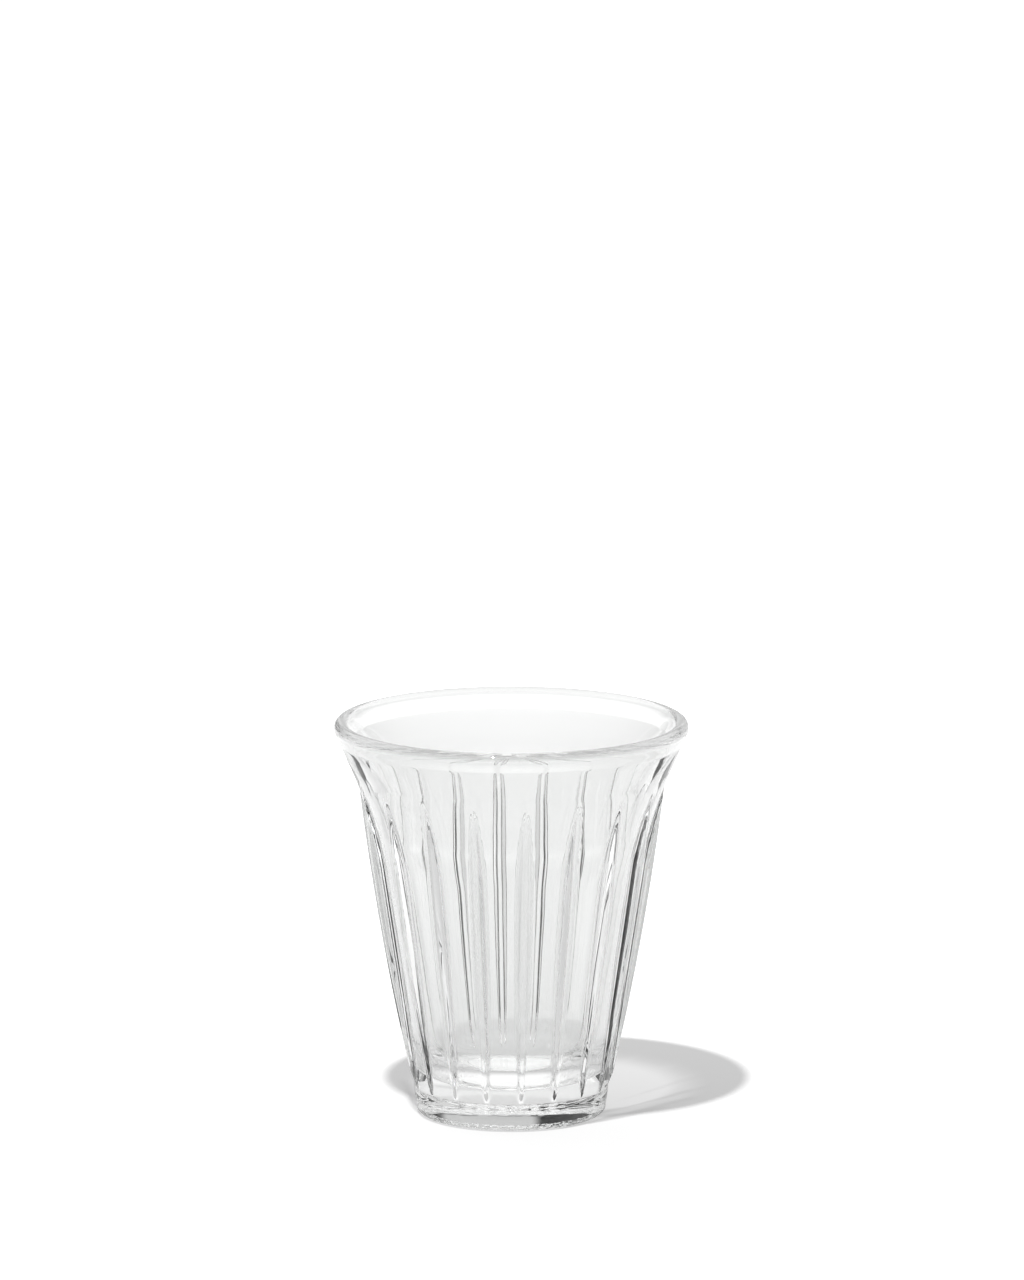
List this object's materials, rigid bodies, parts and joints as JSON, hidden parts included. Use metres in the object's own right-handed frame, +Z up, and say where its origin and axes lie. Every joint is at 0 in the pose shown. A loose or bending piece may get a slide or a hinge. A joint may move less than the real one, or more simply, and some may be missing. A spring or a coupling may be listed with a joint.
{
  "type": "tea glass",
  "caption": "Clear pressed tea glass with a flared round lip, a ring of slender upright ribs on a tapered wall, a plain foot band and a thick base.",
  "frame": {"origin": "on the axis of the glass, in the plane of the ring that it stands on", "axes": "+Z up along the axis from the foot to the rim; the picture looks along +Y, with +X to the right"},
  "size_m": [0.082, 0.082, 0.0925],
  "materials": {
    "clear_glass": "clear, polished, fire-smoothed lip"
  },
  "bodies": {
    "root": {"ribbed_glass": "clear_glass"}
  },
  "joints": []
}
